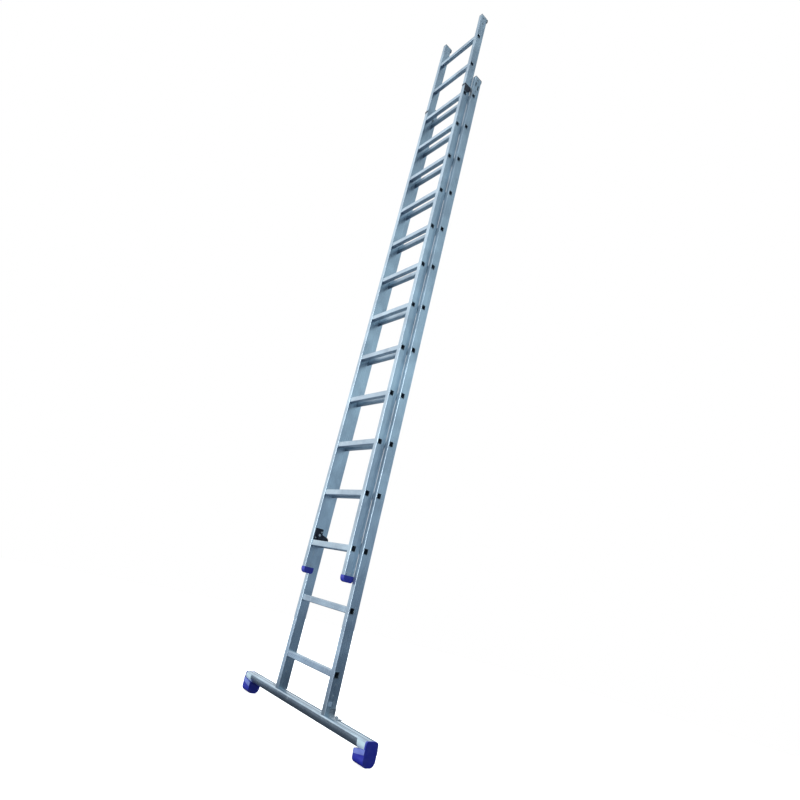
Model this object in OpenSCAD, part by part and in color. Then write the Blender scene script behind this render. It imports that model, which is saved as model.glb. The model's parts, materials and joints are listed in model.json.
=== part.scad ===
// Two-section push-up extension ladder with a stabiliser bar.
// The ladder stands upright: stiles along Z, rungs along X, climbing side towards -Y.
// The fly section runs in front of the base section and between its stiles.
// The origin is the centre of the bounding box in X and Y, at the lowest point of the feet.
// Lengths are in millimetres.

/* [Sections] */
// Number of rungs in each section
rung_count = 14; // [8:1:14]
// Distance between rung centres
rung_pitch = 280; // [250:5:300]
// Number of rungs by which the fly section is raised
raised_rungs = 2; // [1:1:8]
// Width of the fly section over its stiles
fly_w = 393; // [370:1:420]
// Gap between a fly stile and the base stile beside it
side_gap = 3; // [3:0.5:6]
// Distance from the front of the fly section to the front of the base section
section_step = 54; // [53:0.5:60]

/* [Stiles] */
// Width of a stile, along the rungs
stile_w = 28.5; // [26:0.5:32]
// Depth of a stile, front to back
stile_d = 57; // [56:0.5:58]
// Wall thickness of a stile
stile_wall = 1.8; // [1.5:0.1:2.2]
// Fly stile below its lowest rung centre
fly_below = 128; // [118:1:140]
// Fly stile above its highest rung centre
fly_above = 214; // [150:1:240]
// Base stile below its lowest rung centre
base_below = 167; // [165:1:200]
// Base stile above its highest rung centre
base_above = 175; // [170:1:220]

/* [Rungs] */
// Depth of a rung, front to back
rung_d = 27; // [25:0.5:28]
// Height of a rung
rung_h = 30; // [28:0.5:31]
// Wall thickness of a rung
rung_wall = 1.6; // [1.2:0.1:2]
// Rung centre behind the front face of its stile
rung_y = 16.5; // [16.5:0.25:17]

/* [Stabiliser] */
// Length of the stabiliser over its feet
bar_length = 1096; // [900:10:1200]
// Depth of the stabiliser bar, front to back
bar_d = 63; // [62:1:70]
// Height of the stabiliser bar
bar_h = 45; // [42:1:50]
// Height of a foot
foot_h = 95; // [90:1:115]
// Length of a foot along the bar
foot_len = 72; // [64:1:90]

/* [Hooks] */
// Thickness of a rung hook
hook_t = 6; // [5:0.5:8]
// Radius of the pin that a hook turns on
pin_r = 4; // [3:0.5:5]

/* [Hidden] */
sides = [["left", -1], ["right", 1]];

// Guide plates reach round the front of the fly stiles
guide_t = 1.5;
guide_front_gap = 0.8;
front_reach = guide_t + guide_front_gap;

// The feet stand proud of the bar, and the band round them stands proud of the feet
bar_front = 3;
collar_t = 1.6;
foot_side = collar_t + 0.4;
band_proud = 1.5;
rear_reach = bar_d - bar_front - stile_d + foot_side + band_proud;
total_d = front_reach + section_step + stile_d + rear_reach;

// Front faces of the two sections, and half widths over and between their stiles
fly_y = -total_d / 2 + front_reach;
base_y = fly_y + section_step;
fly_half = fly_w / 2;
fly_inner = fly_half - stile_w;
base_inner = fly_half + side_gap;
base_half = base_inner + stile_w;

// Heights: the feet stand at zero and the base stiles stand on the bar
base_z = foot_h;
base_rung_z = base_z + base_below;
fly_rung_z = base_rung_z + raised_rungs * rung_pitch;
fly_z = fly_rung_z - fly_below;
rung_span = (rung_count - 1) * rung_pitch;
base_len = base_below + rung_span + base_above;
fly_len = fly_below + rung_span + fly_above;

// Stile section
stile_r = 2.5;
stile_in_r = stile_r - stile_wall / 2;
groove_w = 2.4;
groove_depth = 0.7;
groove_places = [0.62, 0.8];

// Rung section and the flared rings that lock it into the stiles
rung_r = 3.5;
flare = 1.6;
flare_t = 0.8;
tread_w = 1.4;
tread_depth = 0.6;
tread_pitch = 3.4;
tread_count = 5;

// End caps. A stud on a top cap snaps into a hole in the outer web of its stile,
// at a distance behind the front and below the top
cap_t = 5;
base_cap_lip = 3;
fly_cap_lip = 9;
cap_skirt = 20;
plug_len = 30;
plug_gap = 0.05;
stud_r = 6;
stud_y = 24;
stud_drop = 21;
foot_cap_h = 32;
foot_cap_r = [22, 14, 1, 1];
foot_cap_proud = 0.8;
foot_cap_rivets = [[12, 12], [34, 12]];

// Rivets: shank, domed head
rivet_r = 2.4;
rivet_head_r = 4.2;
rivet_head_h = 1;

// Guide brackets at the top of the base section
guide_drop = 96;
guide_h = 57;
guide_tail = 48;
guide_tail_h = 30;
lip_h = 9;
guide_rivets = [[16, 14], [38, 14]];

// Hook plates, hooks and their pins, measured from the centre of the lowest fly rung
plate_t = 4;
plate_low = 17.5;
plate_size = [48, 62];
plate_front = 6;
boss_r = 9;
boss_t = 2.5;
hook_gap = 0.3;
pin_gap = 0.05;
hook_pivot = [30, 44];
hook_hub_r = 11;
hook_rivets = [[16, 28], [47, 62]];
pin_head_r = 7;
pin_head_t = 3;
hook_rest = rung_h / 2 + hook_gap;
claw_front = section_step + rung_y + rung_d / 2 + 1.5;
claw_t = 8;
claw_low = -2;

// Stabiliser bar: two slots along its top take the heads of the upright bolts.
// Its corner radii run from the lower front to the lower rear, the upper rear and the upper front.
// A slot holds its place behind the front of the bar, its width, and its chamber's width and height
bar_wall = 2.4;
bar_r = [30, 12, 16, 8];
slots = [[14, 5.4, 11, 4.5], [42, 9, 15, 6]];
chamber_wall = 2;

// Feet: end plate, cradle under the bar, proud band that rises towards the end plate,
// grooves across the tread and a tenon inside the bar
foot_r = [24, 26, 18, 10];
foot_wall = 8;
cradle_top = foot_h - bar_h + 2;
band_z = 33;
band_h = 19;
band_rise = 13;
foot_groove_w = 3;
foot_groove_depth = 1.5;
foot_groove_pitch = 12;
foot_grooves = [-1.5, -0.5, 0.5, 1.5];
tenon = [36, 30, 24];
tenon_y = 16;
tenon_z = 7;
collar_len = 54;

// Inserts inside the feet of the base stiles, and the brackets that tie them to the bar
insert_h = 142;
insert_wall = 4;
insert_floor = 8;
insert_rivets = [81, 128];
insert_rivet_y = 23;
bracket_t = 3;
bracket_leg = 32;
bracket_foot = 62;
bracket_w = 34;
bracket_bolt_z = 18;
bracket_bolt_x = 40;
cross_y = slots[1][0] - bar_front;
cross_head = 5;

// Bolts of the two slots: radius, radius of the hexagon over its corners, height of the nut
bolts = [[2.5, 4.6, 4], [4, 7.2, 6.4]];
bolt_end = 3;

// Openings in the outer web of a base stile through which the guide bracket is riveted.
// Each holds its distance behind the front, its distance below the top, its width and its length
access_slots = [[15, 64, 8, 36], [39, 82, 9, 42]];
access_hole = [26, 127, 8, 8];

// Hole in the outer web of a fly stile near its top, in the same order
fly_hole = [26, 77, 11, 11];

// Plain label: distance behind the front, height above the stile's end, depth, height, thickness
label = [5, 38, 22, 20, 0.4];

function rung_name(section, i) = str(section, "_rung_", i < 10 ? "0" : "", i);
function both(name) = [for (s = sides) str(name, "_", s[0])];

// Quarter disc in the upper right quadrant, turned by an angle
module soft_corner(r, turn) {
    rotate(turn)
        intersection() {
            circle(r, $fn = 48);
            square(r);
        }
}

// Rectangle from [0, 0] to [w, h] with its own corner radius at each corner,
// in the order lower left, lower right, upper right, upper left
module soft_rect(w, h, r) {
    polygon([
        [r[0], 0], [w - r[1], 0], [w, r[1]], [w, h - r[2]],
        [w - r[2], h], [r[3], h], [0, h - r[3]], [0, r[0]]
    ]);
    translate([r[0], r[0]]) soft_corner(r[0], 180);
    translate([w - r[1], r[1]]) soft_corner(r[1], 270);
    translate([w - r[2], h - r[2]]) soft_corner(r[2], 0);
    translate([r[3], h - r[3]]) soft_corner(r[3], 90);
}

// Rectangle centred in X, from y = 0 to y = d, with one radius at every corner
module round_rect(w, d, r) {
    translate([-w / 2, 0]) soft_rect(w, d, [r, r, r, r]);
}

// Extrudes an outline drawn in the Y-Z plane along X, from x = 0
module along_x(length) {
    rotate([90, 0, 90]) linear_extrude(length) children();
}

// Cylinder along X from x = 0
module x_rod(length, r) {
    rotate([0, 90, 0]) cylinder(h = length, r = r, $fn = 48);
}

// Places children drawn for the right-hand side on either side of the ladder
module on_side(side) {
    if (side > 0) children();
    else mirror([1, 0, 0]) children();
}

// Domed head standing on the plane x = 0
module rivet_head() {
    dome_r = (pow(rivet_head_r, 2) + pow(rivet_head_h, 2)) / (2 * rivet_head_h);
    rotate([0, 90, 0])
        rotate_extrude($fn = 48)
            intersection() {
                translate([0, rivet_head_h - dome_r]) circle(dome_r, $fn = 96);
                square([rivet_head_r, rivet_head_h]);
            }
}

// Rivet along X that clamps everything between two planes
module rivet(x_in, x_out) {
    translate([x_in, 0, 0]) x_rod(x_out - x_in, rivet_r);
    translate([x_out, 0, 0]) rivet_head();
    translate([x_in, 0, 0]) mirror([1, 0, 0]) rivet_head();
}

// Holes for a list of rivets [y, z], cut along X from x = 0
module rivet_holes(places, length) {
    for (p = places)
        translate([-1, p[0], p[1]]) x_rod(length + 2, rivet_r);
}

// Hollow stile section with grooves along its outer web
module stile_outline() {
    difference() {
        round_rect(stile_w, stile_d, stile_r);
        translate([0, stile_wall])
            round_rect(stile_w - 2 * stile_wall, stile_d - 2 * stile_wall, stile_in_r);
        for (place = groove_places)
            translate([stile_w / 2 - groove_depth, place * stile_d - groove_w / 2])
                square([2 * groove_depth, groove_w]);
    }
}

// Rung outline in the Y-Z plane, grown by a margin, centred on the rung
module rung_outline(margin) {
    translate([0, -rung_h / 2 - margin])
        round_rect(rung_d + 2 * margin, rung_h + 2 * margin, rung_r + margin);
}

// Stile tube from its inner web at x = 0, with a hole through both webs for each rung
// and one through the outer web for the top cap's stud
module stile_tube(length, below) {
    difference() {
        translate([stile_w / 2, 0, 0]) linear_extrude(length) stile_outline();
        for (i = [0:rung_count - 1])
            translate([-1, rung_y, below + i * rung_pitch])
                along_x(stile_w + 2) rung_outline(0);
        access_cut([stud_y, stud_drop, 2 * stud_r, 2 * stud_r], length);
    }
}

// Slot along Z with round ends, cut through the outer web of a stile of the given length:
// s holds the slot's y, its distance below the stile's top, its width and its length
module access_cut(s, length) {
    r = s[2] / 2;
    reach = s[3] / 2 - r;
    depth = stile_wall + 2;
    translate([stile_w - stile_wall - 1, s[0], length - s[1]]) {
        translate([0, 0, reach]) x_rod(depth, r);
        if (reach > 0) {
            translate([0, 0, -reach]) x_rod(depth, r);
            translate([0, -r, -reach]) cube([depth, 2 * r, 2 * reach]);
        }
    }
}

module base_stile(side) {
    guide_z = base_len - guide_drop;
    color("lightsteelblue")
        on_side(side) translate([base_inner, base_y, base_z])
            difference() {
                stile_tube(base_len, base_below);
                for (s = access_slots) access_cut(s, base_len);
                access_cut(access_hole, base_len);
                rivet_holes([for (z = insert_rivets) [insert_rivet_y, z]], stile_w);
                rivet_holes([for (p = guide_rivets) [p[0], guide_z - p[1]]], stile_wall);
                translate([stile_w - stile_wall - 1, cross_y, bracket_bolt_z])
                    x_rod(stile_wall + 2, bolts[1][0]);
            }
}

module fly_stile(side) {
    color("lightsteelblue")
        on_side(side) translate([fly_inner, fly_y, fly_z])
            difference() {
                stile_tube(fly_len, fly_below);
                access_cut(fly_hole, fly_len);
                rivet_holes([for (p = hook_rivets) [p[0], fly_below + p[1]]], stile_w);
                rivet_holes(foot_cap_rivets, stile_w);
            }
}

// Flared ring round a rung, from x = 0
module rung_flare() {
    along_x(flare_t)
        difference() {
            rung_outline(flare);
            rung_outline(0);
        }
}

// Hollow rung with tread grooves above and below, for stiles of the given half width.
// Its ends stand out of the stiles by the thickness of the flares.
module rung(half, y, z) {
    color("gainsboro")
        translate([-half, y + rung_y, z]) {
            translate([-flare_t, 0, 0]) along_x(2 * (half + flare_t))
                difference() {
                    rung_outline(0);
                    rung_outline(-rung_wall);
                    for (i = [0:tread_count - 1])
                        for (top = [-1, 1])
                            translate([(i - (tread_count - 1) / 2) * tread_pitch, top * rung_h / 2])
                                square([tread_w, 2 * tread_depth], center = true);
                }
            for (x = [-flare_t, stile_w, 2 * half - stile_w - flare_t, 2 * half])
                translate([x, 0, 0]) rung_flare();
        }
}

module base_rung(i) {
    rung(base_half, base_y, base_rung_z + (i - 1) * rung_pitch);
}

module fly_rung(i) {
    rung(fly_half, fly_y, fly_rung_z + (i - 1) * rung_pitch);
}

// Plug that fits inside a stile, from z = 0 upwards
module stile_plug(height) {
    inset = stile_wall + plug_gap;
    translate([stile_w / 2, inset, 0])
        linear_extrude(height)
            round_rect(stile_w - 2 * inset, stile_d - 2 * inset, stile_in_r);
}

// Cap over the top end of a stile, with a skirt down its back and a stud in the outer web.
// The skirt stands behind the stile by the lip.
module top_cap(lip) {
    translate([stile_w / 2, 0, 0])
        linear_extrude(cap_t) round_rect(stile_w, stile_d + lip, stile_r);
    translate([0, 0, -plug_len]) stile_plug(plug_len + 1);
    translate([1, stile_d, -cap_skirt]) cube([stile_w - 2, lip, cap_skirt + 1]);
    translate([stile_w / 2, stud_y, -stud_drop]) x_rod(stile_w / 2, stud_r - plug_gap);
}

module base_top_cap(side) {
    color("dimgray")
        on_side(side) translate([base_inner, base_y, base_z + base_len]) top_cap(base_cap_lip);
}

module fly_top_cap(side) {
    color("dimgray")
        on_side(side) translate([fly_inner, fly_y, fly_z + fly_len]) top_cap(fly_cap_lip);
}

// Cap under the bottom end of a fly stile: round underside, plug riveted into the tube
module fly_foot_cap(side) {
    w = stile_w + 2 * foot_cap_proud;
    d = stile_d + 2 * foot_cap_proud;
    color("mediumblue")
        on_side(side) translate([fly_inner, fly_y, fly_z]) {
            translate([-foot_cap_proud, -foot_cap_proud, -foot_cap_h])
                along_x(w) soft_rect(d, foot_cap_h, foot_cap_r);
            difference() {
                translate([0, 0, -1]) stile_plug(plug_len + 1);
                rivet_holes(foot_cap_rivets, stile_w);
            }
        }
}

// Guide plate beside the base stile, with a tongue round the front of the fly stile
module guide_bracket(side) {
    tail_y = section_step + guide_tail;
    color("#20242c")
        on_side(side) translate([base_inner - guide_t, fly_y, base_z + base_len - guide_drop]) {
            difference() {
                along_x(guide_t) polygon([
                    [-front_reach, 0], [-front_reach, -lip_h], [2, -lip_h - 6], [6, -guide_h],
                    [34, -guide_h], [section_step + 4, -guide_tail_h], [tail_y, -guide_tail_h],
                    [tail_y, 0]
                ]);
                rivet_holes([for (p = guide_rivets) [section_step + p[0], -p[1]]], guide_t);
            }
            translate([-side_gap - stile_w + guide_t, -front_reach, -lip_h])
                cube([stile_w + side_gap, guide_t, lip_h]);
        }
}

// Everything on the lowest fly rung is drawn from that rung's centre, beside the stile's inner web
module at_hook(side, inset) {
    on_side(side) translate([fly_inner - inset, fly_y, fly_rung_z]) children();
}

module hook_plate(side) {
    color("#2a2e38")
        at_hook(side, plate_t + boss_t)
            difference() {
                union() {
                    translate([boss_t, plate_front, plate_low])
                        along_x(plate_t) soft_rect(plate_size[0], plate_size[1], [5, 5, 5, 5]);
                    translate([0, hook_pivot[0], hook_pivot[1]]) x_rod(boss_t + 1, boss_r);
                }
                translate([-1, hook_pivot[0], hook_pivot[1]]) x_rod(plate_t + boss_t + 2, pin_r);
                rivet_holes(hook_rivets, plate_t + boss_t);
            }
}

module hook_pin(side) {
    shank = plate_t + boss_t + 2 * hook_gap + hook_t;
    color("silver")
        at_hook(side, shank)
            translate([0, hook_pivot[0], hook_pivot[1]]) {
                x_rod(shank, pin_r);
                translate([-pin_head_t, 0, 0]) x_rod(pin_head_t, pin_head_r);
            }
}

// Hook that rests on the base rung behind the fly rung and reaches down its back
module rung_hook(side) {
    claw_back = claw_front + claw_t;
    color("#2a2e38")
        at_hook(side, plate_t + boss_t + hook_gap + hook_t)
            difference() {
                union() {
                    translate([0, hook_pivot[0], hook_pivot[1]]) x_rod(hook_t, hook_hub_r);
                    along_x(hook_t) polygon([
                        [hook_pivot[0] - 10, hook_pivot[1] - 4.5], [34, hook_rest], [claw_front, hook_rest],
                        [claw_front, claw_low], [claw_back, claw_low], [claw_back, 32],
                        [claw_back - 7, 39], [hook_pivot[0] + 4, hook_pivot[1] + 10.2]
                    ]);
                    translate([0, claw_front + claw_t / 2, claw_low]) x_rod(hook_t, claw_t / 2);
                }
                translate([-1, hook_pivot[0], hook_pivot[1]]) x_rod(hook_t + 2, pin_r + pin_gap);
            }
}

// Insert inside the foot of a base stile: open box with a thick floor for the upright bolt
module stile_insert(side) {
    inset = stile_wall + plug_gap + insert_wall;
    color("silver")
        on_side(side) translate([base_inner, base_y, base_z])
            difference() {
                stile_plug(insert_h);
                translate([inset, inset, insert_floor])
                    cube([stile_w - 2 * inset, stile_d - 2 * inset, insert_h]);
                rivet_holes([for (z = insert_rivets) [insert_rivet_y, z]], stile_w);
                translate([stile_w / 2, slots[0][0] - bar_front, -1])
                    cylinder(h = insert_floor + 2, r = bolts[0][0], $fn = 48);
                translate([stile_w - inset - 1, cross_y, bracket_bolt_z])
                    x_rod(inset + 2, bolts[1][0]);
            }
}

// Outline of the bar in the Y-Z plane, from its front at y = 0 and its underside at z = 0
module bar_outline(margin) {
    translate([-margin, -margin])
        soft_rect(bar_d + 2 * margin, bar_h + 2 * margin, [for (r = bar_r) max(r + margin, 0.5)]);
}

module stabiliser_bar() {
    half = bar_length / 2 - foot_wall;
    lip = bar_h - bar_wall;
    color("lightsteelblue")
        translate([-half, base_y - bar_front, foot_h - bar_h])
            along_x(2 * half)
                difference() {
                    union() {
                        difference() {
                            bar_outline(0);
                            bar_outline(-bar_wall);
                        }
                        for (s = slots)
                            translate([s[0] - s[2] / 2 - chamber_wall, lip - s[3] - chamber_wall])
                                square([s[2] + 2 * chamber_wall, s[3] + chamber_wall + 1]);
                    }
                    for (s = slots) {
                        translate([s[0] - s[2] / 2, lip - s[3]]) square([s[2], s[3]]);
                        translate([s[0] - s[1] / 2, lip - 1]) square([s[1], bar_wall + 2]);
                    }
                }
}

// Outline of a foot in the Y-Z plane, standing on z = 0
module foot_outline(height, r) {
    translate([-bar_front - foot_side, 0]) soft_rect(bar_d + 2 * foot_side, height, r);
}

// Band round a foot, from its inner end at x = 0
module foot_band() {
    depth = bar_d + 2 * (foot_side + band_proud);
    translate([0, bar_d - bar_front + foot_side + band_proud, band_z])
        rotate([90, 0, 0])
            linear_extrude(depth)
                polygon([
                    [0, 0], [foot_len, band_rise], [foot_len, band_rise + band_h], [0, band_h]
                ]);
}

// Foot under one end of the bar: an end plate over the whole end, a cradle with a proud band
// and grooves across its tread, and a tenon inside the bar
module stabiliser_foot(side) {
    color("mediumblue")
        on_side(side) translate([bar_length / 2 - foot_len, base_y, 0]) {
            difference() {
                union() {
                    along_x(foot_len) foot_outline(cradle_top, [foot_r[0], foot_r[1], 1, 1]);
                    foot_band();
                    translate([foot_len - foot_wall, 0, 0])
                        along_x(foot_wall) foot_outline(foot_h, foot_r);
                }
                translate([-1, -bar_front, foot_h - bar_h])
                    along_x(foot_len - foot_wall + 1) bar_outline(collar_t);
                for (place = foot_grooves)
                    translate([foot_len / 2 + place * foot_groove_pitch - foot_groove_w / 2, -bar_d / 2, -1])
                        cube([foot_groove_w, 2 * bar_d, foot_groove_depth + 1]);
            }
            translate([foot_len - foot_wall - tenon[0], tenon_y - bar_front, foot_h - bar_h + tenon_z])
                cube([tenon[0] + 1, tenon[1], tenon[2]]);
        }
}

// Metal strap round the front, underside and back of the bar where it enters a foot
module stabiliser_collar(side) {
    color("whitesmoke")
        on_side(side)
            translate([bar_length / 2 - foot_wall - collar_len, base_y - bar_front, foot_h - bar_h])
                along_x(collar_len)
                    difference() {
                        bar_outline(collar_t);
                        bar_outline(0);
                        translate([-bar_d, bar_h - bar_r[3]]) square([3 * bar_d, bar_h]);
                    }
}

// Angle that ties a base stile to the bar
module stabiliser_bracket(side) {
    color("silver")
        on_side(side) translate([base_half, base_y + cross_y - bracket_w / 2, base_z])
            difference() {
                union() {
                    cube([bracket_t, bracket_w, bracket_leg]);
                    cube([bracket_foot, bracket_w, bracket_t]);
                }
                translate([-1, bracket_w / 2, bracket_bolt_z]) x_rod(bracket_t + 2, bolts[1][0]);
                translate([bracket_bolt_x, bracket_w / 2, -1])
                    cylinder(h = bracket_t + 2, r = bolts[1][0], $fn = 48);
            }
}

// Places children, drawn along Z from the underside of the bar's upper lip, in a slot
module in_slot(side, x, slot) {
    on_side(side)
        translate([x, base_y - bar_front + slots[slot][0], foot_h - bar_wall])
            children();
}

// Places children, drawn along X from the outer face of the bracket, at the cross bolt
module at_cross_bolt(side) {
    on_side(side)
        translate([base_half + bracket_t, base_y + cross_y, base_z + bracket_bolt_z])
            children();
}

// Bolt with its flat head in a slot's chamber, clamping a thickness above the bar
module slot_bolt(slot, clamped) {
    head_w = slots[slot][2] - 1;
    head_h = slots[slot][3] - 0.4;
    shank = bar_wall + clamped + bolts[slot][2] + bolt_end;
    cylinder(h = shank, r = bolts[slot][0], $fn = 48);
    translate([-head_w / 2, -head_w / 2, -head_h]) cube([head_w, head_w, head_h]);
}

// Hexagon nut along Z from z = 0
module nut(slot) {
    difference() {
        cylinder(h = bolts[slot][2], r = bolts[slot][1], $fn = 6);
        translate([0, 0, -1]) cylinder(h = bolts[slot][2] + 2, r = bolts[slot][0], $fn = 48);
    }
}

// On each side one bolt up into the stile, one through the bracket's foot and one across its leg
module stabiliser_bolts() {
    wall = bracket_t + stile_wall + plug_gap + insert_wall;
    shank = wall + bolts[1][2] + bolt_end;
    for (s = sides)
        color("silver") {
            in_slot(s[1], base_inner + stile_w / 2, 0) slot_bolt(0, insert_floor);
            in_slot(s[1], base_half + bracket_bolt_x, 1) slot_bolt(1, bracket_t);
            at_cross_bolt(s[1]) {
                rotate([0, 90, 0]) cylinder(h = cross_head, r = bolts[1][1], $fn = 6);
                translate([-shank, 0, 0]) x_rod(shank, bolts[1][0]);
            }
        }
}

// Nuts on the inserts' floors, on the brackets' feet and on the cross bolts inside the stiles
module stabiliser_nuts() {
    wall = bracket_t + stile_wall + plug_gap + insert_wall;
    for (s = sides)
        color("silver") {
            in_slot(s[1], base_inner + stile_w / 2, 0)
                translate([0, 0, bar_wall + insert_floor]) nut(0);
            in_slot(s[1], base_half + bracket_bolt_x, 1)
                translate([0, 0, bar_wall + bracket_t]) nut(1);
            at_cross_bolt(s[1]) translate([-wall, 0, 0]) rotate([0, -90, 0]) nut(1);
        }
}

// Rivets of the guide brackets and of the inserts
module base_rivets() {
    for (s = sides)
        color("silver") on_side(s[1]) {
            for (p = guide_rivets)
                translate([0, base_y + p[0], base_z + base_len - guide_drop - p[1]])
                    rivet(base_inner - guide_t, base_inner + stile_wall);
            for (z = insert_rivets)
                translate([0, base_y + insert_rivet_y, base_z + z]) rivet(base_inner, base_half);
        }
}

// Rivets of the hook plates and of the foot caps
module fly_rivets() {
    for (s = sides)
        color("silver") on_side(s[1]) {
            for (p = hook_rivets)
                translate([0, fly_y + p[0], fly_rung_z + p[1]]) rivet(fly_inner - plate_t, fly_half);
            for (p = foot_cap_rivets)
                translate([0, fly_y + p[0], fly_z + p[1]]) rivet(fly_inner, fly_half);
        }
}

module blank_label() {
    color("lightgray")
        translate([base_half, base_y + label[0], base_z + label[1]])
            cube([label[4], label[2], label[3]]);
}

for (s = sides) {
    base_stile(s[1]);
    fly_stile(s[1]);
    base_top_cap(s[1]);
    fly_top_cap(s[1]);
    fly_foot_cap(s[1]);
    guide_bracket(s[1]);
    hook_plate(s[1]);
    hook_pin(s[1]);
    rung_hook(s[1]);
    stile_insert(s[1]);
    stabiliser_foot(s[1]);
    stabiliser_collar(s[1]);
    stabiliser_bracket(s[1]);
}
for (i = [1:rung_count]) {
    base_rung(i);
    fly_rung(i);
}
stabiliser_bar();
stabiliser_bolts();
stabiliser_nuts();
base_rivets();
fly_rivets();
blank_label();
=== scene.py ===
import json
import math

import bmesh
import bpy
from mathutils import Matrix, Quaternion, Vector


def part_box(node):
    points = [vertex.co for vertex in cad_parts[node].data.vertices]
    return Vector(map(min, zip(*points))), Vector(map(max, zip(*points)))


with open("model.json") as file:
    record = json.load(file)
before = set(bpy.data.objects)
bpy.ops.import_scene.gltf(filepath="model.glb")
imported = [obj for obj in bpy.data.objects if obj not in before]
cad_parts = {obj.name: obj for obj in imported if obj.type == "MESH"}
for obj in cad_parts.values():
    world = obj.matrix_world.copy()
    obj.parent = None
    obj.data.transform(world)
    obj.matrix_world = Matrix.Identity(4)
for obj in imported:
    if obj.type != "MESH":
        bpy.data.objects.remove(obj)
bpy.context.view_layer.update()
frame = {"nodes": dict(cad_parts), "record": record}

NODES = frame["nodes"]

# Camera: where it stands, the point it looks at and its roll, because the ladder leans in the photograph
# and stands upright here
CAMERA_AT = Vector((2.401, -1.671, 0.667))
CAMERA_LOOKS_AT = Vector((0.009, 0.170, 1.730))
CAMERA_ROLL = math.radians(13.34)
LENS_MM = 24.14
SENSOR_MM = 36

# Linear colours, with no light or shade in them, except the feet's pale band colour, which is a painted
# highlight
SATIN_ALUMINIUM = (0.50, 0.62, 0.70)
DULL_ALUMINIUM = (0.34, 0.42, 0.49)
ZINC = (0.56, 0.60, 0.62)
DARK_ZINC = (0.30, 0.34, 0.38)
FOOT_BLUE = (0.014, 0.020, 0.30)
FOOT_BLUE_WORN = (0.11, 0.14, 0.46)
# Painted highlight on the band of the feet
PAINTED_BAND_HIGHLIGHT = (0.17, 0.22, 0.55)
STRAP_GREY = (0.46, 0.60, 0.66)
CAP_GREY = (0.020, 0.028, 0.040)
BRACKET_BLACK = (0.007, 0.010, 0.024)
LABEL_GREY = (0.30, 0.38, 0.47)
GRIME = (0.05, 0.06, 0.07)
BLACK = (0.0, 0.0, 0.0)
WHITE = (1.0, 1.0, 1.0)

# Nodes that look different from the rest of their material slot
OWN_LOOKS = {
    "stabiliser_bar": "bar_aluminium",
    "fly_foot_cap_left": "plain_blue",
    "fly_foot_cap_right": "plain_blue",
}

# Depth of the band that stands proud of the feet, in metres, where the feet are painted paler as a
# highlight
BAND_DEPTH = 0.001

# Suns: strength, spread in degrees, and the way that the light comes from
OVERHEAD_SUN = (2.0, 40, (0.0, 0.0, 1.0))
FRONT_SUN = (2.4, 40, (-0.1, -1.0, 0.2))

# The way to the bright side of the room, and how far a direction leans that way where the change from the
# dim side to the bright side begins and ends
BRIGHT_WAY = (-0.82, -0.57, 0.0)
BRIGHT_FROM = -0.2
BRIGHT_TO = 0.5

# Light that reaches the ladder from each side: the vertical part of a direction, and the colour there
DIM_SIDE = (
    (-0.15, (0.07, 0.10, 0.18)),
    (-0.07, (0.20, 0.26, 0.36)),
    (0.06, (0.42, 0.53, 0.66)),
    (0.33, (0.72, 0.90, 1.00)),
    (0.60, (0.62, 0.76, 0.86)),
    (0.74, (0.34, 0.42, 0.48)),
    (0.85, (0.40, 0.48, 0.55)),
)
BRIGHT_SIDE = (
    (-0.16, (0.44, 0.49, 0.58)),
    (-0.06, (0.58, 0.64, 0.71)),
    (0.06, (0.94, 0.96, 0.98)),
    (0.33, (1.16, 1.18, 1.22)),
    (0.60, (1.10, 1.13, 1.17)),
    (0.73, (1.22, 1.27, 1.34)),
    (0.79, (0.56, 0.65, 0.72)),
    (0.88, (0.34, 0.38, 0.43)),
)

# Floor: its radius in metres, what the camera sees, and what the ladder mirrors in front, behind on each
# side, and close by, where it is painted dark as shade around the ladder
FLOOR_RADIUS = 6.0
FLOOR_PALE = (0.93, 0.93, 0.93)
FLOOR_GLOW = 0.65
FLOOR_FRONT = (0.38, 0.42, 0.50)
FLOOR_LEFT = (0.11, 0.15, 0.17)
FLOOR_RIGHT = (0.04, 0.06, 0.09)
FLOOR_NEAR_SHADE = (0.02, 0.03, 0.05)

# Where the mirrored floor changes, in metres: X from right to left, Y from back to front, and the distance
# from the ladder from far to close by
RIGHT_TO_LEFT = (0.3, -1.5)
BACK_TO_FRONT = (0.1, -0.7)
FAR_TO_NEAR = (1.5, 0.4)


def shader(name):
    """A new material: (material, its node tree, its Principled shader, the row frame's coordinates)."""
    material = bpy.data.materials.new(name)
    material.use_nodes = True
    tree = material.node_tree
    principled = tree.nodes["Principled BSDF"]
    coordinates = tree.nodes.new("ShaderNodeTexCoord").outputs["Object"]
    return material, tree, principled, coordinates


def stretched(tree, vector, scale):
    """The coordinates multiplied by a scale for each axis."""
    mapping = tree.nodes.new("ShaderNodeMapping")
    mapping.inputs["Scale"].default_value = scale
    tree.links.new(vector, mapping.inputs["Vector"])
    return mapping.outputs["Vector"]


def noise(tree, vector, scale, detail=3.0, distortion=0.0):
    """Noise from 0 to 1 with the given number of features per metre."""
    node = tree.nodes.new("ShaderNodeTexNoise")
    node.inputs["Scale"].default_value = scale
    node.inputs["Detail"].default_value = detail
    node.inputs["Distortion"].default_value = distortion
    tree.links.new(vector, node.inputs["Vector"])
    return node.outputs["Fac"]


def remapped(tree, value, low, high, to_low=0.0, to_high=1.0):
    """The value spread from low..high to to_low..to_high, and clamped there."""
    node = tree.nodes.new("ShaderNodeMapRange")
    node.inputs["From Min"].default_value = low
    node.inputs["From Max"].default_value = high
    node.inputs["To Min"].default_value = to_low
    node.inputs["To Max"].default_value = to_high
    tree.links.new(value, node.inputs["Value"])
    return node.outputs["Result"]


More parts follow.
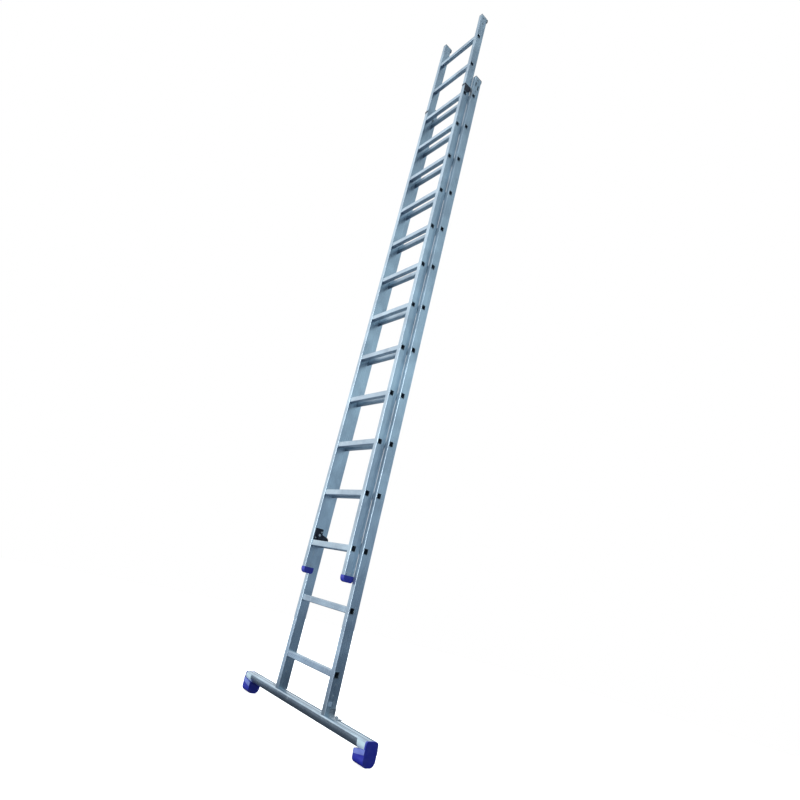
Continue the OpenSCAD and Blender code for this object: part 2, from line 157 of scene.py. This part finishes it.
def combined(tree, operation, first, second):
    """Two values, or a value and a number, put through a Math node and kept between 0 and 1."""
    node = tree.nodes.new("ShaderNodeMath")
    node.operation = operation
    node.use_clamp = True
    tree.links.new(first, node.inputs[0])
    if isinstance(second, float):
        node.inputs[1].default_value = second
    else:
        tree.links.new(second, node.inputs[1])
    return node.outputs["Value"]


def mixed(tree, factor, first, second):
    """The first colour where the factor is 0 and the second where it is 1."""
    node = tree.nodes.new("ShaderNodeMix")
    node.data_type = "RGBA"
    tree.links.new(factor, node.inputs["Factor"])
    for socket, colour in ((node.inputs[6], first), (node.inputs[7], second)):
        if isinstance(colour, tuple):
            socket.default_value = (*colour, 1.0)
        else:
            tree.links.new(colour, socket)
    return node.outputs[2]


def edges(tree, radius):
    """1 within a radius of sharp edges and 0 on flat surfaces."""
    bevel = tree.nodes.new("ShaderNodeBevel")
    bevel.inputs["Radius"].default_value = radius
    geometry = tree.nodes.new("ShaderNodeNewGeometry")
    dot = tree.nodes.new("ShaderNodeVectorMath")
    dot.operation = "DOT_PRODUCT"
    tree.links.new(bevel.outputs["Normal"], dot.inputs[0])
    tree.links.new(geometry.outputs["Normal"], dot.inputs[1])
    return remapped(tree, dot.outputs["Value"], 0.995, 0.85)


def facing_up(tree, low=0.5, high=0.95):
    """1 on surfaces that face upwards."""
    geometry = tree.nodes.new("ShaderNodeNewGeometry")
    split = tree.nodes.new("ShaderNodeSeparateXYZ")
    tree.links.new(geometry.outputs["Normal"], split.inputs["Vector"])
    return remapped(tree, split.outputs["Z"], low, high)


def raised(tree, principled, height, strength, distance, rounding=0.0):
    """Bumps the surface by a height, and shades its edges as if rounded where a radius is given."""
    bump = tree.nodes.new("ShaderNodeBump")
    bump.inputs["Strength"].default_value = strength
    bump.inputs["Distance"].default_value = distance
    tree.links.new(height, bump.inputs["Height"])
    if rounding:
        bevel = tree.nodes.new("ShaderNodeBevel")
        bevel.inputs["Radius"].default_value = rounding
        tree.links.new(bevel.outputs["Normal"], bump.inputs["Normal"])
    tree.links.new(bump.outputs["Normal"], principled.inputs["Normal"])


def extruded_aluminium(name, grain, worn_tops):
    """Satin extruded aluminium: die lines along the grain axis, soft mottling, scuffs and bright edges."""
    material, tree, principled, where = shader(name)
    along = [1.0 if axis == grain else 260.0 for axis in "XYZ"]
    die_lines = noise(tree, stretched(tree, where, along), 4.0, detail=6.0)
    mottle = noise(tree, where, 7.0, detail=4.0, distortion=0.4)
    smeared = stretched(tree, where, (1.0, 1.0, 0.35))
    scratches = noise(tree, smeared, 55.0, detail=8.0, distortion=1.5)
    scuffs = remapped(tree, scratches, 0.60, 0.72)
    colour = mixed(tree, remapped(tree, mottle, 0.35, 0.7), DULL_ALUMINIUM, SATIN_ALUMINIUM)
    colour = mixed(tree, remapped(tree, die_lines, 0.3, 0.75, 0.0, 0.35), colour, DULL_ALUMINIUM)
    colour = mixed(tree, combined(tree, "MULTIPLY", scuffs, 0.45), colour, ZINC)
    rubbed_edges = combined(tree, "MULTIPLY", edges(tree, radius=0.0012), 0.6)
    colour = mixed(tree, rubbed_edges, colour, SATIN_ALUMINIUM)
    if worn_tops:
        patches = remapped(tree, noise(tree, where, 30.0, detail=5.0), 0.35, 0.6)
        boots = combined(tree, "MULTIPLY", facing_up(tree), patches)
        colour = mixed(tree, combined(tree, "MULTIPLY", boots, 0.5), colour, ZINC)
    tree.links.new(colour, principled.inputs["Base Color"])
    roughness = combined(tree, "ADD", remapped(tree, die_lines, 0.3, 0.7, 0.24, 0.36),
                         combined(tree, "MULTIPLY", scuffs, 0.12))
    tree.links.new(roughness, principled.inputs["Roughness"])
    principled.inputs["Metallic"].default_value = 0.92
    raised(tree, principled, die_lines, strength=0.12, distance=0.0004, rounding=0.0008)
    return material


def zinc_plate(name):
    """Zinc-plated steel: a fine mottled crystal finish with brighter edges."""
    material, tree, principled, where = shader(name)
    crystals = noise(tree, where, 480.0, detail=4.0, distortion=0.8)
    clouds = noise(tree, where, 60.0)
    colour = mixed(tree, remapped(tree, crystals, 0.35, 0.65), DARK_ZINC, ZINC)
    colour = mixed(tree, remapped(tree, clouds, 0.5, 0.8, 0.0, 0.4), colour, DARK_ZINC)
    colour = mixed(tree, combined(tree, "MULTIPLY", edges(tree, radius=0.0006), 0.7), colour, ZINC)
    tree.links.new(colour, principled.inputs["Base Color"])
    tree.links.new(remapped(tree, crystals, 0.3, 0.7, 0.26, 0.42), principled.inputs["Roughness"])
    principled.inputs["Metallic"].default_value = 1.0
    raised(tree, principled, crystals, strength=0.08, distance=0.0002, rounding=0.0004)
    return material


def cast_aluminium(name):
    """Cast aluminium: a coarse sandy skin."""
    material, tree, principled, where = shader(name)
    sand = noise(tree, where, 900.0, detail=5.0)
    colour = mixed(tree, remapped(tree, sand, 0.3, 0.7), DARK_ZINC, DULL_ALUMINIUM)
    tree.links.new(colour, principled.inputs["Base Color"])
    tree.links.new(remapped(tree, sand, 0.3, 0.7, 0.5, 0.65), principled.inputs["Roughness"])
    principled.inputs["Metallic"].default_value = 0.9
    raised(tree, principled, sand, strength=0.3, distance=0.0005, rounding=0.0008)
    return material


def outermost(tree, vector, box, depth):
    """1 within a depth of the front and the back of a box."""
    split = tree.nodes.new("ShaderNodeSeparateXYZ")
    tree.links.new(vector, split.inputs["Vector"])
    front, back = box[0][1], box[1][1]
    at_front = remapped(tree, split.outputs["Y"], front + depth, front + depth / 2)
    at_back = remapped(tree, split.outputs["Y"], back - depth, back - depth / 2)
    return combined(tree, "ADD", at_front, at_back)


def moulded_plastic(name, colour, worn, roughness, wear, highlight_box=None):
    """Moulded plastic: fine spark-eroded grain, faint flow marks, paler rubbed edges and a little grime.

    Where a box is given, what stands proud of the rest at its front and back is painted pale too, as a
    highlight from above.
    """
    material, tree, principled, where = shader(name)
    grain = noise(tree, where, 1400.0)
    flow = noise(tree, stretched(tree, where, (1.0, 2.0, 4.0)), 14.0, detail=4.0, distortion=0.8)
    dirt = remapped(tree, noise(tree, where, 34.0, detail=7.0, distortion=0.6), 0.56, 0.74)
    mixture = mixed(tree, remapped(tree, flow, 0.4, 0.7, 0.0, 0.15), colour, worn)
    # Painted highlight: the band's front and back are painted paler, as if they caught light from above
    if highlight_box:
        band_highlight = combined(tree, "MULTIPLY", outermost(tree, where, highlight_box, BAND_DEPTH),
                          remapped(tree, flow, 0.2, 0.6, 0.6, 0.95))
        mixture = mixed(tree, band_highlight, mixture, PAINTED_BAND_HIGHLIGHT)
    mixture = mixed(tree, combined(tree, "MULTIPLY", edges(tree, radius=0.0018), wear), mixture, worn)
    mixture = mixed(tree, combined(tree, "MULTIPLY", dirt, 0.25), mixture, GRIME)
    tree.links.new(mixture, principled.inputs["Base Color"])
    spread = combined(tree, "ADD", remapped(tree, grain, 0.3, 0.7, roughness - 0.06, roughness + 0.06),
                      combined(tree, "MULTIPLY", dirt, 0.18))
    tree.links.new(spread, principled.inputs["Roughness"])
    principled.inputs["Specular IOR Level"].default_value = 0.45
    raised(tree, principled, grain, strength=0.18, distance=0.0003, rounding=0.0012)
    return material


def coated_steel(name):
    """Steel plate with a satin black coat that is rubbed to bare metal along its edges."""
    material, tree, principled, where = shader(name)
    orange_peel = noise(tree, where, 650.0)
    chips = remapped(tree, noise(tree, where, 260.0, detail=6.0, distortion=0.5), 0.45, 0.6)
    bare = combined(tree, "MULTIPLY", edges(tree, radius=0.0009), chips)
    dust = remapped(tree, noise(tree, where, 40.0, detail=4.0), 0.4, 0.7, 0.0, 0.3)
    colour = mixed(tree, dust, BRACKET_BLACK, GRIME)
    colour = mixed(tree, bare, colour, DARK_ZINC)
    tree.links.new(colour, principled.inputs["Base Color"])
    tree.links.new(bare, principled.inputs["Metallic"])
    tree.links.new(remapped(tree, orange_peel, 0.3, 0.7, 0.38, 0.50), principled.inputs["Roughness"])
    principled.inputs["Specular IOR Level"].default_value = 0.25
    raised(tree, principled, orange_peel, strength=0.2, distance=0.0003, rounding=0.0006)
    return material


def label_film(name):
    """Plain printed film with a slight ripple."""
    material, tree, principled, where = shader(name)
    ripple = noise(tree, where, 90.0, detail=2.0)
    fibres = noise(tree, where, 1500.0, detail=2.0)
    colour = mixed(tree, remapped(tree, ripple, 0.4, 0.7, 0.0, 0.3), LABEL_GREY, STRAP_GREY)
    tree.links.new(colour, principled.inputs["Base Color"])
    tree.links.new(remapped(tree, fibres, 0.3, 0.7, 0.4, 0.5), principled.inputs["Roughness"])
    raised(tree, principled, ripple, strength=0.15, distance=0.0004)
    return material


def paint_nodes():
    """Gives each CAD node the material of its slot in the record, or its own."""
    looks = {
        "stile_aluminium": extruded_aluminium("stile_aluminium", "Z", False),
        "bar_aluminium": extruded_aluminium("bar_aluminium", "X", False),
        "rung_aluminium": extruded_aluminium("rung_aluminium", "X", True),
        "cast_aluminium": cast_aluminium("cast_aluminium"),
        "zinc_steel": zinc_plate("zinc_steel"),
        "bracket_black": coated_steel("bracket_black"),
        "foot_blue": moulded_plastic("foot_blue", FOOT_BLUE, FOOT_BLUE_WORN, 0.42, 0.55,
                                     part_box("stabiliser_foot_right")),
        "plain_blue": moulded_plastic("plain_blue", FOOT_BLUE, FOOT_BLUE_WORN, 0.42, 0.35),
        "cap_grey": moulded_plastic("cap_grey", CAP_GREY, STRAP_GREY, 0.5, 0.25),
        "strap_grey": moulded_plastic("strap_grey", STRAP_GREY, ZINC, 0.45, 0.3),
        "label_grey": label_film("label_grey"),
    }
    for part in frame["record"]["subparts"]:
        node = NODES[part["node"]]
        node.data.materials.clear()
        node.data.materials.append(looks[OWN_LOOKS.get(part["node"], part["material_slot"])])


def stage_floor():
    """A pale round floor. What the ladder mirrors of it is darker than what the camera sees, and painted
    darkest close by as shade around the ladder.
    """
    mesh = bpy.data.meshes.new("floor")
    rounds = bmesh.new()
    bmesh.ops.create_circle(rounds, cap_ends=True, segments=96, radius=FLOOR_RADIUS)
    rounds.to_mesh(mesh)
    rounds.free()
    floor = bpy.data.objects.new("floor", mesh)
    bpy.context.scene.collection.objects.link(floor)
    material, tree, principled, where = shader("floor_paint")
    principled.inputs["Roughness"].default_value = 0.9
    principled.inputs["Specular IOR Level"].default_value = 0.1
    split = tree.nodes.new("ShaderNodeSeparateXYZ")
    distance = tree.nodes.new("ShaderNodeVectorMath")
    distance.operation = "LENGTH"
    path = tree.nodes.new("ShaderNodeLightPath")
    tree.links.new(where, split.inputs["Vector"])
    tree.links.new(where, distance.inputs[0])
    mirrored = mixed(tree, remapped(tree, split.outputs["X"], *RIGHT_TO_LEFT), FLOOR_RIGHT, FLOOR_LEFT)
    mirrored = mixed(tree, remapped(tree, split.outputs["Y"], *BACK_TO_FRONT), mirrored, FLOOR_FRONT)
    # Painted shade: the floor that the ladder mirrors is darkest close to the ladder
    mirrored = mixed(tree, remapped(tree, distance.outputs["Value"], *FAR_TO_NEAR), mirrored, FLOOR_NEAR_SHADE)
    seen = path.outputs["Is Camera Ray"]
    tree.links.new(mixed(tree, seen, mirrored, FLOOR_PALE), principled.inputs["Base Color"])
    tree.links.new(mixed(tree, seen, BLACK, FLOOR_PALE), principled.inputs["Emission Color"])
    principled.inputs["Emission Strength"].default_value = FLOOR_GLOW
    floor.data.materials.append(material)


def studio_sun(name, strength, spread, way):
    """Very soft light that comes from the given way."""
    lamp = bpy.data.lights.new(name, "SUN")
    lamp.energy = strength
    lamp.angle = math.radians(spread)
    holder = bpy.data.objects.new(name, lamp)
    holder.rotation_euler = Vector(way).to_track_quat("Z", "Y").to_euler()
    bpy.context.scene.collection.objects.link(holder)


def sky(tree, height, stops):
    """Colour by height: each stop is the vertical part of a direction, from -1 to 1, and its colour."""
    ramp = tree.nodes.new("ShaderNodeValToRGB")
    tree.links.new(remapped(tree, height, -1.0, 1.0), ramp.inputs["Fac"])
    elements = ramp.color_ramp.elements
    while len(elements) < len(stops):
        elements.new(0.5)
    for element, (place, colour) in zip(elements, stops):
        element.position = (place + 1) / 2
        element.color = (*colour, 1.0)
    return ramp.outputs["Color"]


def studio_world():
    """White for the camera. The ladder is lit by a bright side and a dimmer side, both dark below."""
    world = bpy.data.worlds.new("studio")
    bpy.context.scene.world = world
    world.use_nodes = True
    tree = world.node_tree
    direction = tree.nodes.new("ShaderNodeTexCoord").outputs["Generated"]
    split = tree.nodes.new("ShaderNodeSeparateXYZ")
    side = tree.nodes.new("ShaderNodeVectorMath")
    side.operation = "DOT_PRODUCT"
    side.inputs[1].default_value = BRIGHT_WAY
    path = tree.nodes.new("ShaderNodeLightPath")
    tree.links.new(direction, split.inputs["Vector"])
    tree.links.new(direction, side.inputs[0])
    dim = sky(tree, split.outputs["Z"], DIM_SIDE)
    bright = sky(tree, split.outputs["Z"], BRIGHT_SIDE)
    ladder_light = mixed(tree, remapped(tree, side.outputs["Value"], BRIGHT_FROM, BRIGHT_TO), dim, bright)
    seen = mixed(tree, path.outputs["Is Camera Ray"], ladder_light, WHITE)
    tree.links.new(seen, tree.nodes["Background"].inputs["Color"])


def add_camera():
    """The camera at the photograph's angle."""
    lens = bpy.data.cameras.new("camera")
    lens.sensor_width = SENSOR_MM
    lens.lens = LENS_MM
    lens.clip_end = 100
    camera = bpy.data.objects.new("camera", lens)
    level = (CAMERA_LOOKS_AT - CAMERA_AT).to_track_quat("-Z", "Y")
    camera.location = CAMERA_AT
    camera.rotation_euler = (level @ Quaternion((0, 0, 1), CAMERA_ROLL)).to_euler()
    bpy.context.scene.collection.objects.link(camera)
    bpy.context.scene.camera = camera


paint_nodes()
stage_floor()
studio_world()
studio_sun("overhead", *OVERHEAD_SUN)
studio_sun("front", *FRONT_SUN)
add_camera()
bpy.context.scene.view_settings.view_transform = "Standard"
